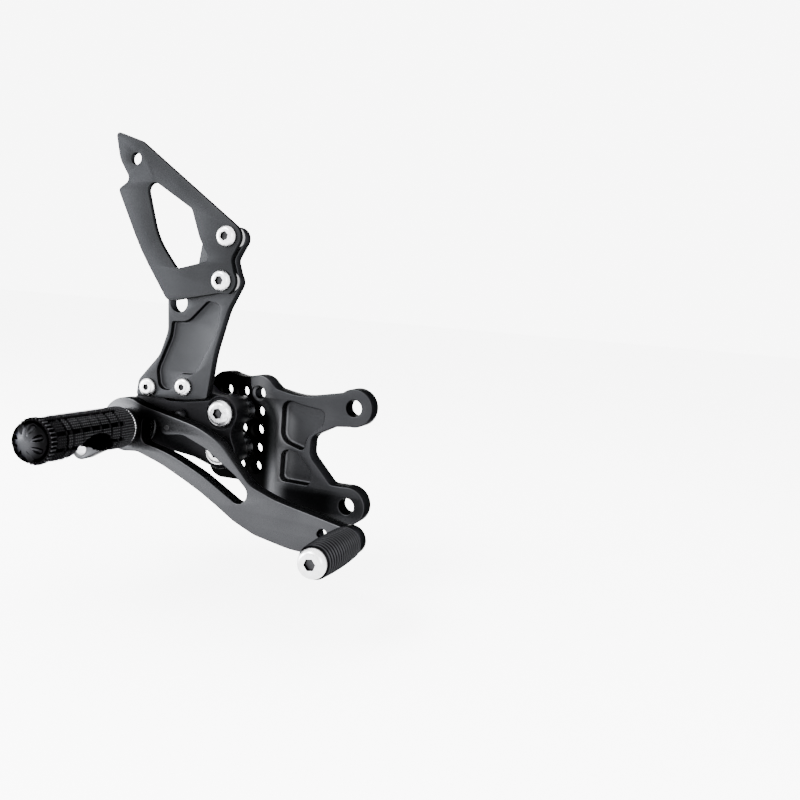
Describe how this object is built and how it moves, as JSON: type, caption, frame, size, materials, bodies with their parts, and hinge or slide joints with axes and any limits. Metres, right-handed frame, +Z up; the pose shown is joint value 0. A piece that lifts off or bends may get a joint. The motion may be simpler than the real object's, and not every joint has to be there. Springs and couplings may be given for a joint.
{
  "type": "motorcycle foot peg",
  "caption": "Brake-side rearset foot peg: slotted brake lever on a fixed knurled peg, carried by an adjustable mount plate with heel guard.",
  "frame": {"origin": "inner face of the mount plate, on solid material, half way up between the two frame bolts", "axes": "+X to the front of the motorcycle, -Y outboard along the peg, +Z up; +Y points into the motorcycle's frame"},
  "size_m": [0.1713, 0.114, 0.1996],
  "materials": {
    "black_anodised": "satin black anodised, machined",
    "machined_black": "satin black anodised, slightly lighter",
    "steel": "bright turned stainless steel",
    "black_oxide": "black-oxide steel",
    "bronze": "sintered bearing bronze",
    "spring_steel": "drawn spring wire, oiled"
  },
  "bodies": {
    "root": {"mount_plate": "black_anodised", "peg_carrier": "black_anodised", "spacer_upper": "black_anodised", "spacer_lower": "black_anodised", "heel_bracket": "black_anodised", "heel_guard": "black_anodised", "peg_grip": "black_anodised", "grip_end_sleeve": "black_anodised", "hub_collar": "black_anodised", "grip_end_cap": "machined_black", "return_spring": "spring_steel", "stop_eccentric": "black_oxide", "stop_screw": "black_oxide", "carrier_bolt_upper": "steel", "carrier_bolt_lower": "steel", "bracket_screw_rear": "steel", "bracket_screw_front": "steel", "guard_spacer_upper": "steel", "guard_spacer_lower": "steel", "guard_screw_upper": "steel", "guard_screw_lower": "steel", "peg_spindle": "steel", "spindle_washer": "steel", "spindle_bolt": "steel", "spring_sleeve": "steel", "hub_ring": "steel", "grip_set_screw": "steel"},
    "lever": {"brake_lever": "machined_black", "pivot_bush_outer": "bronze", "pivot_bush_inner": "bronze", "pushrod_bush": "steel", "toe_peg_sleeve": "black_anodised", "toe_peg_screw": "steel", "lever_stop_pin": "black_oxide", "spring_pin": "black_oxide"}
  },
  "joints": [
    {"name": "lever_pivot", "type": "hinge", "parent": "root", "child": "lever", "pos_m": [-0.0805, -0.039, 0.0066], "axis": [0, 1, 0], "range_deg": [0, 12], "stiffness_Nm_per_rad": 0.75, "springref_deg": -28.65, "deforming": ["return_spring"]}
  ]
}
